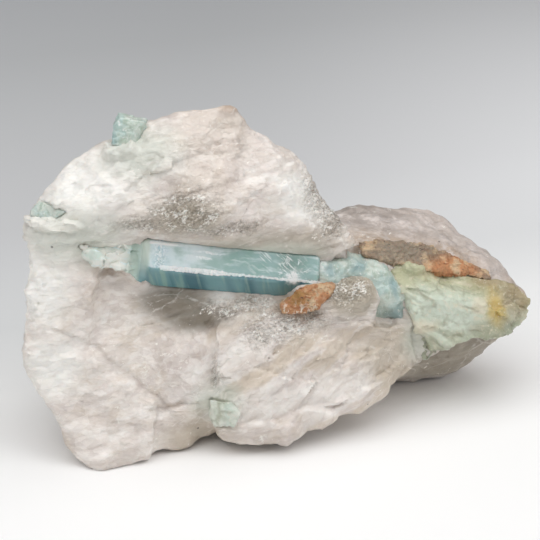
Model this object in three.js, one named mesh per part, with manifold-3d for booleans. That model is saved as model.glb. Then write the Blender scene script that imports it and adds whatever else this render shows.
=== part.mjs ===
// An aquamarine crystal in its quartz matrix: a hand specimen of pegmatite, in millimetres, +Z up.
//
// A block of milky quartz stands on three worn feet. A six-sided aquamarine prism lies across its front,
// snapped once near its right end. Pale green massive beryl and a seam of iron-stained feldspar fill the
// low right-hand end. Four small pieces, three of beryl and one of feldspar, sit in pockets of their own.
// The origin is on the table, under the middle of the specimen; +Y points from the front to the back.
import * as THREE from "three";
import { ConvexGeometry } from "three/addons/geometries/ConvexGeometry.js";
import { mergeVertices } from "three/addons/utils/BufferGeometryUtils.js";
import Module from "manifold-3d";

const wasm = await Module();
wasm.setup();

// Driving dimensions.
const GAP = 0.35; // between a piece and the pocket that it grew in
const PRISM_SIDE = 6.8; // width of one prism face, which is also the radius over the corners
const PRISM_LEFT = [-35.4, -13.0, 47.2]; // middle of the prism's left end
const PRISM_RIGHT = [7.0, -5.6, 39.8]; // middle of its right end, where it is snapped
const END_SLANT = 0.24; // how far the left end leans: its lower corners reach further than its upper ones
const CORNER_CHIP = 0.9; // how far the ends are worn back at their corners

// Each quartz chunk is the hull of its corners [x, y, z]; together they make the broken block.
const QUARTZ_CHUNKS = {
  peak: [
    [-62, -12, 61], [-56, -7, 69], [-50, -5, 72], [-43, -3, 75], [-31, -1, 80], [-27, -1, 82], [-13, 1, 82],
    [-10, 2, 78], [-55, -16, 64], [-40, -16.5, 66], [-26, -15.5, 68], [-12, -12, 67], [-34, -12, 75],
    [-34, 11, 74], [-16, 11, 76], [-54, 5, 62], [-12, 17, 58], [-50, 15, 48], [-34, -11, 50], [-10, -9, 46],
  ],
  face_over_prism: [
    [-38, -17, 54], [-21, -15, 52], [-9, -13, 50], [6, -10, 47], [16, -7, 44], [-46, -19, 60],
    [-34, -19, 60], [-18, -17, 59], [-4, -14, 56], [8, -10, 52], [16, -6, 48], [-54, -17, 64],
    [-40, -16.5, 66], [-26, -15.5, 68], [-12, -12, 67], [0, -9, 64], [8, -5, 60], [-44, -3, 54], [6, 1, 48],
    [-34, -1, 72], [-4, 1, 68],
  ],
  left_shoulder: [
    [-65, -14, 57], [-62, -12, 61], [-56, -17, 63], [-48, -19, 60], [-46, -18, 49], [-34, -16, 53],
    [-65, -16, 53], [-63, -17, 49], [-58, 3, 58], [-60, 3, 46], [-42, -1, 48],
  ],
  right_shoulder: [
    [-13, 1, 79], [-6, 2, 73], [3, 2, 69], [4, 1, 66], [8, -1, 61], [11, -2, 57], [0, -10, 63],
    [-14, -14, 64],
    [-14, -12, 46], [4, -8, 45], [-4, 17, 60], [8, 13, 50], [-12, 15, 64], [10, -7, 52], [-10, -1, 44],
  ],
  right_tip: [
    [10, -2, 58], [15, -3, 52], [19, -4, 48], [18, -5, 44], [4, -9, 50], [4, -7, 44], [8, 9, 50],
    [14, 5, 44],
    [12, -6, 44],
  ],
  left_wall: [
    [-64, -17, 51], [-63, -20, 41], [-62, -22, 39], [-64, -25, 31], [-66, -26, 27], [-65, -27, 22],
    [-47, -18, 49], [-46, -17, 44], [-49, -24, 30], [-58, -27, 30], [-52, -22, 40], [-60, 5, 46],
    [-60, 11, 24], [-44, -1, 46], [-44, -5, 24],
  ],
  toe: [
    [-66, -26, 27], [-65, -27, 22], [-59, -31, 14], [-56, -32, 9], [-54, -34, 4], [-51, -35, 2],
    [-47, -37, 1], [-43, -37, 0], [-38, -35, 0], [-48, -33, 0], [-50, -26, 26], [-42, -31, 15],
    [-33, -29, 14], [-32, -32, 7], [-34, -32, 1], [-44, -3, 0], [-58, -1, 8], [-60, 7, 24], [-32, -5, 26],
    [-40, -27, 21],
  ],
  slope_to_ridge: [
    [-45, -17, 35], [-30, -11, 31], [-18, -14, 28], [-46, -25, 27], [-42, -27, 24], [-36, -26, 20],
    [-32, -27, 16], [-29, -27, 13], [-21, -26, 14], [-17, -25, 16], [-16, -21, 27], [-48, -15, 24],
    [-48, -1, 22],
    [-24, -11, 12], [-48, -1, 36], [-16, -1, 34],
  ],
  toe_flank: [
    [-34, -32, 2], [-32, -31, 9], [-27, -28, 12], [-21, -26, 13], [-18, -25, 15], [-17, -23, 4],
    [-26, -27, 1], [-38, -29, 0], [-38, -21, 0], [-16, -11, 14], [-20, -11, 0], [-32, -13, 20],
  ],
  recess: [
    [-48, -16, 44], [-34, -8, 42], [-18, -6, 40], [0, -8, 37], [-39, -14, 33], [-22, -12, 31],
    [-50, -20, 34],
    [-2, -14, 33], [-18, -19, 14], [-34, -21, 18], [4, 9, 30], [-44, 11, 40], [-44, 5, 12], [-4, 3, 10],
  ],
  front_block: [
    [-18, -20, 28], [-18, -29, 8], [-14, -30, 5], [-6, -30, 3], [3, -27, 7], [12, -23, 9], [23, -17, 9],
    [29, -11, 11], [32, -8, 22], [31, -6, 26], [22, -11, 29], [11, -14, 30], [-1, -16, 33], [-9, -17, 33],
    [-6, -25, 23], [11, -20, 23], [23, -15, 22], [-16, -13, 2], [26, 1, 8], [-4, 1, 30], [26, 3, 28],
    [33, -6.5, 23], [37.5, -2.5, 19], [38, -1, 16], [35, -3, 13],
  ],
  under_front: [
    [-18, -25, 8], [-14, -15, 0], [2, -11, 0], [20, 3, 0], [30, -3, 12], [-8, -24, 6], [6, -20, 10],
    [-18, 5, 0], [16, 19, 0], [-14, 5, 14], [26, 15, 14],
  ],
  smoky_knob: [
    [12, -11, 38], [15, -10, 40], [18, -9, 41], [21, -9, 40], [23, -9, 37], [23, -11, 30], [24, -8, 29],
    [20, -14, 35], [16, -16, 34], [10, -16, 33], [8, -16, 31], [14, -17, 28], [22, -14, 27], [16, -8, 28],
    [21, -6, 36], [10, -11, 30],
  ],
  core: [
    [-52, 17, 0], [-56, 9, 20], [-50, 21, 40], [-44, -9, 2], [-4, -7, 2], [-24, 29, 4], [0, 31, 6],
    [-34, 25, 52], [-8, 25, 54], [6, 21, 46], [10, 1, 42], [-40, -7, 44], [16, 25, 4], [-60, 3, 44],
  ],
  right_body: [
    [34, 17, 0], [44, 14, 0], [50, 20, 1], [46, 33, 1], [20, 33, 0], [16, 7, 1], [32, 4, 6], [38, 5, 8],
    [47, 9, 4], [55, 8, 12], [61, 8, 18], [66, 10, 25], [66, 11, 27], [60, 19, 32], [55, 23, 34],
    [32, 1, 26], [20, 1, 36], [52, 7, 28], [62, 25, 22],
  ],
  back_block: [
    [15, 20, 47], [20, 25, 47], [27, 30, 45], [33, 30, 44], [40, 33, 44], [45, 31, 42], [51, 29, 37],
    [55, 23, 34], [60, 19, 32], [12, 5, 45], [19, 6, 44], [31, 10, 43], [42, 12, 39], [56, 14, 33],
    [26, 37, 20], [48, 35, 18], [4, 33, 24], [58, 27, 18], [6, 23, 44], [52, 9, 28], [18, 3, 36],
  ],
};

// Flakes broken off the block, each the hull of its corners.
const SPALLS = {
  under_right_end: [
    [48, -1, 2], [62, -1, 14], [72, 3, 20], [52, 15, -2], [72, 21, 14], [66, 41, -2], [76, 35, 10],
    [50, 25, -2],
  ],
  back_arch: [
    [-28, 39, -2], [14, 39, -2], [-22, 35, 5], [10, 35, 6], [-12, 1, -2], [0, 9, -2],
  ],
};

// The small crystals and the fillings: the hulls that make each piece.
const PRISM_TAIL = [
  [-35, -15, 52], [-43, -16, 52], [-51, -18, 52], [-49, -19, 50], [-45, -19, 48], [-41, -19, 47],
  [-38, -19, 44], [-36, -17, 42], [-35, -13, 42], [-35, -9, 50], [-46, -12, 50],
];
const FAR_END_ARM = [
  [9, -9, 44], [16, -6, 43], [21, -4, 41], [26, -3, 39], [9, -12, 38], [14, -9, 37], [20, -6, 35],
  [9, -1, 44], [20, 2, 42], [26, 3, 39], [8, -1, 37], [24, 2, 34],
];
const FAR_END_LEG = [
  [21, -4, 41], [26, -3, 39], [28, -2, 36], [31, -3, 32], [31, -4, 26], [23, -5, 27], [22, -6, 36],
  [27, -6, 31],
  [26, -5, 35], [22, 3, 38], [29, 4, 35], [31, 3, 27], [23, 2, 27],
];
const BERYL_BODY = [
  [25, 3, 40], [32, 2, 38], [40, 3, 35], [54, 6, 31], [62, 9, 30], [66, 7, 27], [65, 6, 22], [61, 3, 19],
  [54, -1, 20], [41, -6, 20], [34, -7, 25], [33, -5, 32], [34, 9, 22], [56, 13, 22], [34, 9, 34],
  [54, 13, 29],
];
const BERYL_ROOT = [
  [33, -7, 25], [43, -4, 20], [41, -5, 17], [37, -5, 13], [35, -6, 15], [35, 5, 18], [43, 4, 18],
];
const RUST_SEAM = [
  [19, 4, 45], [25, 6, 44], [34, 8, 43], [42, 10, 40], [50, 12, 36], [55, 12, 33], [55, 7, 31], [42, 3, 35],
  [33, 3, 39], [20, -1, 43], [21, 7, 38], [38, 11, 34], [52, 12, 29],
];
const RUST_PATCH = [
  [-1, -17, 36], [1, -18, 34], [-1, -18, 34], [2, -17, 38], [6, -15, 40], [9, -13, 40], [12, -12, 39],
  [10, -14, 37], [8, -16, 35], [4, -17, 35], [6, -7, 34], [0, -11, 33], [12, -8, 36],
];
const STUB = [
  [-43, -6, 79], [-41, -5, 81], [-35, -5, 80], [-34, -4, 77], [-38, -8, 74], [-43, -8, 75], [-42, 0, 81],
  [-35, 1, 79], [-34, 1, 72], [-42, 0, 71],
];
const SLIVER = [
  [-63, -14, 60], [-61, -13, 62], [-54, -18, 61], [-57, -18, 59], [-63, -15, 59], [-59, -10, 59],
  [-55, -12, 59],
];
const CHIP = [
  [-19, -26, 14], [-14, -28, 14], [-12, -30, 12], [-13, -31, 9], [-18, -29, 8], [-20, -25, 10],
  [-16, -22, 12],
];

const FINISHES = {
  milky_quartz: { color: 0xe3dbd6, roughness: 0.45 },
  aquamarine: { color: 0x6fa9b4, roughness: 0.15 },
  green_beryl: { color: 0xb4cdbb, roughness: 0.5 },
  rust_feldspar: { color: 0xb9714a, roughness: 0.8 },
};

// three.js geometry to a manifold-3d solid.
function solidFrom(geometry) {
  geometry.deleteAttribute("normal");
  geometry.deleteAttribute("uv");
  const merged = mergeVertices(geometry, 1e-4);
  return new wasm.Manifold(
    new wasm.Mesh({
      numProp: 3,
      vertProperties: new Float32Array(merged.attributes.position.array),
      triVerts: new Uint32Array(merged.index.array),
    }),
  );
}

// manifold-3d solid to a three.js geometry.
function geometryFrom(solid) {
  const mesh = solid.getMesh();
  const geometry = new THREE.BufferGeometry();
  geometry.setAttribute("position", new THREE.BufferAttribute(mesh.vertProperties, 3));
  geometry.setIndex(new THREE.BufferAttribute(mesh.triVerts, 1));
  geometry.computeVertexNormals();
  return geometry;
}

// The hull of some corners, pushed out by grow on every side.
function hull(corners, grow = 0) {
  const steps = grow ? [-grow, grow] : [0];
  const pairs = steps.flatMap((dx) => steps.map((dy) => [dx, dy]));
  const moves = pairs.flatMap(([dx, dy]) => steps.map((dz) => new THREE.Vector3(dx, dy, dz)));
  const points = corners.flatMap((corner) => moves.map((move) => new THREE.Vector3(...corner).add(move)));
  return solidFrom(new ConvexGeometry(points));
}

function join(solids) {
  return solids.reduce((whole, next) => whole.add(next));
}

// The corners of the six-sided prism: flat faces above and below, one edge towards the front. Each end
// is chamfered where its corners are worn, and the left one leans.
function prismCorners() {
  const left = new THREE.Vector3(...PRISM_LEFT);
  const right = new THREE.Vector3(...PRISM_RIGHT);
  const along = right.clone().sub(left).normalize();
  const front = new THREE.Vector3(0, -1, 0).addScaledVector(along, along.y).normalize();
  const up = front.clone().cross(along).negate();
  const corners = [];
  for (let side = 0; side < 6; side++) {
    const turn = (side * Math.PI) / 3;
    const spoke = front.clone().multiplyScalar(Math.cos(turn)).addScaledVector(up, Math.sin(turn));
    const lean = END_SLANT * PRISM_SIDE * Math.sin(turn);
    for (const [end, inward, shift] of [[left, 1, lean], [right, -1, 0]]) {
      const face = end.clone().addScaledVector(along, shift);
      const shoulder = face.clone().addScaledVector(along, inward * CORNER_CHIP);
      corners.push(shoulder.addScaledVector(spoke, PRISM_SIDE));
      corners.push(face.addScaledVector(spoke, PRISM_SIDE - CORNER_CHIP));
    }
  }
  return corners.map((corner) => corner.toArray());
}

// A piece made of hulls, and the pocket that the quartz leaves for it.
function grownPiece(hulls) {
  return {
    solid: join(hulls.map((corners) => hull(corners))),
    pocket: join(hulls.map((corners) => hull(corners, GAP))),
  };
}

const prism = grownPiece([prismCorners(), PRISM_TAIL]);
const farEnd = grownPiece([FAR_END_ARM, FAR_END_LEG]);
const berylMass = grownPiece([BERYL_BODY, BERYL_ROOT]);
const rustSeam = grownPiece([RUST_SEAM]);
const rustPatch = grownPiece([RUST_PATCH]);
const stub = grownPiece([STUB]);
const sliver = grownPiece([SLIVER]);
const chip = grownPiece([CHIP]);

// Where two fillings meet, the harder crystal keeps its shape and the softer one gives way.
const farEndSolid = farEnd.solid.subtract(prism.pocket);
const berylMassSolid = berylMass.solid.subtract(farEnd.pocket);
const rustSeamSolid = rustSeam.solid.subtract(berylMass.pocket).subtract(farEnd.pocket);
const rustPatchSolid = rustPatch.solid.subtract(prism.pocket).subtract(farEnd.pocket);

const grown = [prism, farEnd, berylMass, rustSeam, rustPatch, stub, sliver, chip];
const block = join(Object.values(QUARTZ_CHUNKS).map((corners) => hull(corners)));
const broken = Object.values(SPALLS).reduce((rest, corners) => rest.subtract(hull(corners)), block);
const quartz = grown.reduce((rest, piece) => rest.subtract(piece.pocket), broken);

const specimen = new THREE.Group();

function addNode(name, solid, finish) {
  const material = new THREE.MeshStandardMaterial({ metalness: 0, ...FINISHES[finish] });
  const mesh = new THREE.Mesh(geometryFrom(solid), material);
  mesh.name = name;
  specimen.add(mesh);
}

addNode("quartz_matrix", quartz, "milky_quartz");
addNode("aquamarine_prism", prism.solid, "aquamarine");
addNode("aquamarine_far_end", farEndSolid, "aquamarine");
addNode("green_beryl_mass", berylMassSolid, "green_beryl");
addNode("beryl_stub", stub.solid, "aquamarine");
addNode("beryl_sliver", sliver.solid, "aquamarine");
addNode("beryl_chip", chip.solid, "green_beryl");
addNode("feldspar_seam", rustSeamSolid, "rust_feldspar");
addNode("feldspar_patch", rustPatchSolid, "rust_feldspar");

export default specimen;
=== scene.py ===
"""An aquamarine crystal in its quartz matrix: the minerals' broken surfaces and finishes, and a plain studio.

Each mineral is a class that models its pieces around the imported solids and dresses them. Places and sizes are
written in millimetres, in the solids' own frame: +X along the specimen, +Y to its back and +Z up.
"""

import logging
import math
from dataclasses import dataclass, field

import bpy
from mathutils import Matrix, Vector


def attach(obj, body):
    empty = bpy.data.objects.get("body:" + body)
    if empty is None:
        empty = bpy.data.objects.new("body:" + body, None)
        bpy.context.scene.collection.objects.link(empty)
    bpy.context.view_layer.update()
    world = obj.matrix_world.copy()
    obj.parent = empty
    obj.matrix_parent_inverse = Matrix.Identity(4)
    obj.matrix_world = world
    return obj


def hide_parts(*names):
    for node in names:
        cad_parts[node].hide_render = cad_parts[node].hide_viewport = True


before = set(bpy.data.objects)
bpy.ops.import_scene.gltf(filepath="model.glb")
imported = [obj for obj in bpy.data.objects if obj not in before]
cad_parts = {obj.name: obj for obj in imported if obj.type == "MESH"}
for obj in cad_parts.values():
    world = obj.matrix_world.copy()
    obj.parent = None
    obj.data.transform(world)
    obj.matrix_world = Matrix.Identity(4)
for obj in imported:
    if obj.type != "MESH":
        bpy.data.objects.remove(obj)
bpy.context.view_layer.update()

MM = 0.001
BODY = "root"
PIECE_LIMIT = 190_000  # triangles that the largest piece may have
Place = tuple[float, float, float]
Region = tuple[Place, Place]  # centre and half widths of a rounded region
Socket = bpy.types.NodeSocket
Paint = Socket | str | tuple  # a drawn colour, an sRGB code or linear values
log = logging.getLogger("aquamarine")


def linear(code: str) -> tuple[float, float, float, float]:
    """Turns a colour into Blender's linear values.

    Args:
        code: An sRGB colour such as "#C8DDE0".

    Returns:
        Red, green, blue and an alpha of 1.
    """
    shares = [int(code[i : i + 2], 16) / 255 for i in (1, 3, 5)]
    return (*[s / 12.92 if s <= 0.04045 else ((s + 0.055) / 1.055) ** 2.4 for s in shares], 1.0)


@dataclass
class NodeSheet:
    """A node tree that is being drawn. Every place and size on it is in millimetres."""

    tree: bpy.types.NodeTree

    def add(self, kind: str, inputs: dict | None = None, out: int | str = 0, **settings: object) -> Socket:
        """Adds a node with its settings, values and links.

        Args:
            kind: The node's type.
            inputs: Input name or number to the socket that feeds it, or to its value.
            out: Name or number of the output that is wanted.
            **settings: The node's own settings.

        Returns:
            The output socket. Its node is its attribute node.
        """
        node = self.tree.nodes.new(kind)
        for name, value in settings.items():
            setattr(node, name, value)
        for key, value in (inputs or {}).items():
            if isinstance(value, Socket):
                self.tree.links.new(value, node.inputs[key])
            else:
                node.inputs[key].default_value = value
        return node.outputs[out] if node.outputs else None

    def math(self, operation: str, *values: Socket | float) -> Socket:
        """Returns what a math node makes of its values."""
        return self.add("ShaderNodeMath", dict(enumerate(values)), operation=operation)

    def vector(self, operation: str, *values: Socket | Place, out: str = "Vector") -> Socket:
        """Returns what a vector math node makes of its values."""
        return self.add("ShaderNodeVectorMath", dict(enumerate(values)), out, operation=operation)

    def dot(self, first: Socket, second: Socket | Place) -> Socket:
        """Returns how far the first vector reaches along the second."""
        return self.vector("DOT_PRODUCT", first, second, out="Value")

    def scaled(self, vector: Socket, share: Socket | float) -> Socket:
        """Returns a vector times a number."""
        return self.add("ShaderNodeVectorMath", {0: vector, "Scale": share}, operation="SCALE")

    def joined(self, *measures: Socket | float) -> Socket:
        """Returns the vector with the given measures along X, Y and Z."""
        return self.add("ShaderNodeCombineXYZ", dict(enumerate(measures)))

    def either(self, share: Socket, first: Socket | Place, second: Socket | Place) -> Socket:
        """Returns the first vector where the share is 0 and the second where it is 1."""
        return self.add("ShaderNodeMix", {0: share, 4: first, 5: second}, out=1, data_type="VECTOR")

    def cells(self, place: Socket, size: float, out: str, **settings: object) -> Socket:
        """Returns an output of a pattern of random cells of the given size."""
        return self.add("ShaderNodeTexVoronoi", {"Vector": place, "Scale": 1 / size}, out, **settings)

    def spot(self, place: Socket, centre: Place, radii: Place, feather: float = 0.35) -> Socket:
        """Marks a rounded region.

        Args:
            place: Where the surface is.
            centre: The region's middle.
            radii: Its half widths along X, Y and Z.
            feather: Width of its soft border, as a share of the radii.

        Returns:
            A mask, 1 inside and 0 outside.
        """
        share = self.vector("DIVIDE", self.vector("SUBTRACT", place, centre), radii)
        reach = self.vector("LENGTH", share, out="Value")
        ends = {1: 1 + feather, 2: 1 - feather, 3: 0.0, 4: 1.0}
        return self.add("ShaderNodeMapRange", {0: reach, **ends}, interpolation_type="SMOOTHSTEP")

    def spots(self, place: Socket, regions: list[Region], feather: float = 0.35) -> Socket:
        """Marks several rounded regions.

        Args:
            place: Where the surface is.
            regions: The centre and radii of each.
            feather: Width of their soft borders, as a share of the radii.

        Returns:
            A mask, 1 inside any of them.
        """
        mask = self.spot(place, *regions[0], feather)
        for centre, radii in regions[1:]:
            mask = self.math("MAXIMUM", mask, self.spot(place, centre, radii, feather))
        return mask

    def band(self, value: Socket, low: float, high: float) -> Socket:
        """Returns a value stretched so that low becomes 0 and high becomes 1, with soft ends."""
        return self.add("ShaderNodeMapRange", {0: value, 1: low, 2: high}, interpolation_type="SMOOTHSTEP")

    def both(self, first: Socket | float, second: Socket | float) -> Socket:
        """Returns the product of two masks."""
        return self.math("MULTIPLY", first, second)

    def stretched(self, place: Socket, turn: Place, squeeze: Place) -> Socket:
        """Returns a place turned by degrees and squeezed. A small squeeze draws a pattern out that way."""
        angles = tuple(math.radians(angle) for angle in turn)
        return self.vector("MULTIPLY", self.turned(place, angles), squeeze)

    def turned(self, place: Socket, angles: Socket | Place) -> Socket:
        """Returns a place turned about the origin by angles in radians."""
        inputs = {"Vector": place, "Rotation": angles}
        return self.add("ShaderNodeVectorRotate", inputs, rotation_type="EULER_XYZ")

    def warped(self, place: Socket, size: float, reach: float) -> Socket:
        """Pushes places about, so that a pattern read there has crooked borders.

        Args:
            place: Where the surface is.
            size: Size of the waves.
            reach: How far they push.

        Returns:
            The changed place.
        """
        inputs = {"Vector": place, "Scale": 1 / size, "Detail": 3.0}
        push = self.vector("SUBTRACT", self.add("ShaderNodeTexNoise", inputs, out="Color"), (0.5, 0.5, 0.5))
        return self.vector("ADD", place, self.scaled(push, 2 * reach))

    def facets(self, place: Socket, size: float, tilt: float) -> Socket:
        """Gives the height of a surface that broke into small tilted planes.

        Args:
            place: Where the surface is.
            size: Width of a plane.
            tilt: Rise over run of the steepest planes.

        Returns:
            The height.
        """
        middle = self.cells(place, size, "Position")
        lean = self.vector("SUBTRACT", middle.node.outputs["Color"], (0.5, 0.5, 0.5))
        return self.both(self.dot(self.vector("SUBTRACT", place, middle), lean), 2 * tilt)

    def scoops(self, place: Socket, size: float, depth: float, smooth: float = 0.12) -> Socket:
        """Gives the height of a surface that broke in shallow scoops, with ridges between them.

        Args:
            place: Where the surface is.
            size: Width of a scoop.
            depth: How deep its middle lies under its ridges.
            smooth: How worn the ridges are, from 0 to 1.

        Returns:
            The height, about 0 on the average.
        """
        inputs = {"Vector": place, "Scale": 1 / size, "Smoothness": smooth}
        reach = self.add("ShaderNodeTexVoronoi", inputs, out="Distance", feature="SMOOTH_F1")
        return self.math("MULTIPLY_ADD", self.both(reach, reach), 3.0 * depth, -0.75 * depth)

    def shards(self, place: Socket, size: float, depth: float) -> Socket:
        """Gives the height of a surface that broke into flat shards, with sharp edges between them.

        Args:
            place: Where the surface is.
            size: Width of a shard.
            depth: How deep its middle lies under its edges.

        Returns:
            The height, about 0 on the average.
        """
        leaning = self.stretched(place, (35, 20, 15), (1, 1, 1))
        reach = self.cells(leaning, size, "Distance", distance="MANHATTAN")
        return self.math("MULTIPLY_ADD", reach, 1.6 * depth, -1.1 * depth)

    def cracks(self, place: Socket, size: float, width: float) -> Socket:
        """Marks fine fractures that part cells of the given size, in a mask."""
        return self.band(self.cells(place, size, "Distance", feature="DISTANCE_TO_EDGE"), width / size, 0.0)

    def noise(self, place: Socket, size: float, detail: float = 3.0, rough: float = 0.5) -> Socket:
        """Returns soft noise between 0 and 1, with waves of the given size."""
        inputs = {"Vector": place, "Scale": 1 / size, "Detail": detail, "Roughness": rough}
        return self.add("ShaderNodeTexNoise", inputs)

    def swing(self, place: Socket, size: float, detail: float = 2.0) -> Socket:
        """Returns soft noise between about -1 and 1, with waves of the given size."""
        return self.math("MULTIPLY_ADD", self.noise(place, size, detail), 2.0, -1.0)

    def line(self, value: Socket, at: float, width: float) -> Socket:
        """Marks where a value passes a level, in a mask that has faded out at the width."""
        size = self.math("ABSOLUTE", self.math("SUBTRACT", value, at))
        return self.add("ShaderNodeMapRange", {0: size, 1: width, 2: 0.0}, interpolation_type="SMOOTHSTEP")

    def total(self, *parts: tuple[Socket | float, float | Socket]) -> Socket:
        """Adds up values, each times its weight.

        Args:
            *parts: Pairs of a value and its weight.

        Returns:
            The sum.
        """
        result = self.both(*parts[0])
        for value, weight in parts[1:]:
            result = self.math("MULTIPLY_ADD", value, weight, result)
        return result

    def lay(self, base: Paint, *coats: tuple) -> Socket:
        """Lays colours over a base, one after another.

        Args:
            base: The colour underneath.
            *coats: For each a mask, the colour that covers the base there, and its share where it covers
                only thinly.

        Returns:
            The colour on top.
        """
        colour = linear(base) if isinstance(base, str) else base
        for mask, coat, *share in coats:
            paint = linear(coat) if isinstance(coat, str) else coat
            mask = self.both(mask, share[0]) if share else mask
            colour = self.add("ShaderNodeMix", {0: mask, 6: colour, 7: paint}, out=2, data_type="RGBA")
        return colour


def deselect_all() -> None:
    """Deselects every object."""
    for chosen in bpy.context.selected_objects:
        chosen.select_set(False)


def activate(piece: bpy.types.Object) -> None:
    """Makes one object the only selected and active one."""
    deselect_all()
    piece.select_set(True)
    bpy.context.view_layer.objects.active = piece


def apply_modifier(piece: bpy.types.Object, kind: str, **settings: object) -> None:
    """Adds a modifier to a piece and applies it.

    Args:
        piece: The piece.
        kind: The modifier's type.
        **settings: The modifier's settings.
    """
    activate(piece)
    modifier = piece.modifiers.new(kind.title(), kind)
    for name, value in settings.items():
        setattr(modifier, name, value)
    bpy.ops.object.modifier_apply(modifier=modifier.name)


def copy_of_solid(node: str, name: str) -> bpy.types.Object:
    """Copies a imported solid, so that the copy can be reshaped.

    Args:
        node: The solid's node.
        name: The copy's name.

    Returns:
        The copy, with its loose triangles merged.
    """
    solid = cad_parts[node]
    piece = bpy.data.objects.new(name, solid.data.copy())
    piece.data.name = name
    piece.data.materials.clear()
    bpy.context.scene.collection.objects.link(piece)
    activate(piece)
    bpy.ops.object.mode_set(mode="EDIT")
    bpy.ops.mesh.select_all(action="SELECT")
    bpy.ops.mesh.remove_doubles(threshold=0.01 * MM)
    bpy.ops.object.mode_set(mode="OBJECT")
    return piece


def swell_by(piece: bpy.types.Object, depth: float) -> None:
    """Moves a piece's whole surface outwards, or inwards where the depth is negative, in millimetres."""
    apply_modifier(piece, "DISPLACE", strength=depth * MM, mid_level=0.0)


def remesh(piece: bpy.types.Object, voxel: float) -> None:
    """Gives a piece one closed skin of even cells, in millimetres."""
    apply_modifier(piece, "REMESH", mode="VOXEL", voxel_size=voxel * MM)


def heal(piece: bpy.types.Object, reach: float, voxel: float) -> None:
    """Fills the clefts of a piece and leaves its edges.

    Args:
        piece: The piece.
        reach: Half the width of the clefts that are filled, in millimetres.
        voxel: Width of the skin's cells, in millimetres.
    """
    remesh(piece, voxel)
    swell_by(piece, reach)
    remesh(piece, voxel)
    swell_by(piece, -reach)


def place_in(sheet: NodeSheet, source: Socket) -> Socket:
    """Turns a position in metres into a place in millimetres."""
    return sheet.scaled(source, 1 / MM)


def broken(sheet: NodeSheet, place: Socket) -> Socket:
    """Draws the broad breaks that run through the whole specimen.

    Args:
        sheet: The sheet that they are drawn on.
        place: Where the surface is.

    Returns:
        Their height.
    """
    crooked = sheet.warped(place, 9.0, 2.2)
    height = sheet.total(
        (sheet.swing(place, 19.0), 0.5),
        (sheet.scoops(crooked, 15.0, 0.8, 0.02), 1.0),
        (sheet.shards(crooked, 7.0, 0.5), 1.0),
    )
    return sheet.both(height, PRISM.away(sheet, place))


@dataclass(frozen=True)
class Ledge:
    """A line along which the surface steps. It steps up on the left hand of one who walks along it."""

    start: Place
    end: Place
    rise: float = 1.0  # height of the step
    reach: float = 6.0  # how far from the line the surface has come back to where it was

    def height(self, sheet: NodeSheet, place: Socket) -> Socket:
        """Draws the step.

        Args:
            sheet: The sheet that it is drawn on.
            place: Where the surface is.

        Returns:
            Its height.
        """
        length = (Vector(self.end) - Vector(self.start)).length
        along = (Vector(self.end) - Vector(self.start)).normalized()
        out = Vector((0, -0.8, 0.6))
        up = out.cross(along).normalized()
        gap = sheet.vector("SUBTRACT", place, self.start)
        walked, beside, outward = (sheet.dot(gap, tuple(way)) for way in (along, up, out))
        away = sheet.math("ABSOLUTE", beside)
        side = sheet.total((sheet.band(beside, -0.25, 0.25), 2.0), (1.0, -1.0))
        fade = sheet.both(sheet.band(away, self.reach, 0.0), sheet.line(outward, 0.0, 14.0))
        middle = sheet.line(walked, length / 2, length / 2 + 3.0)
        strength = sheet.both(sheet.band(middle, 0.0, 0.35), self.rise / 2)
        return sheet.both(sheet.both(side, fade), strength)


@dataclass(frozen=True)
class Dent:
    """A rounded region where a surface falls back, or stands out where the depth is negative."""

    centre: Place
    radii: Place
    depth: float


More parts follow.
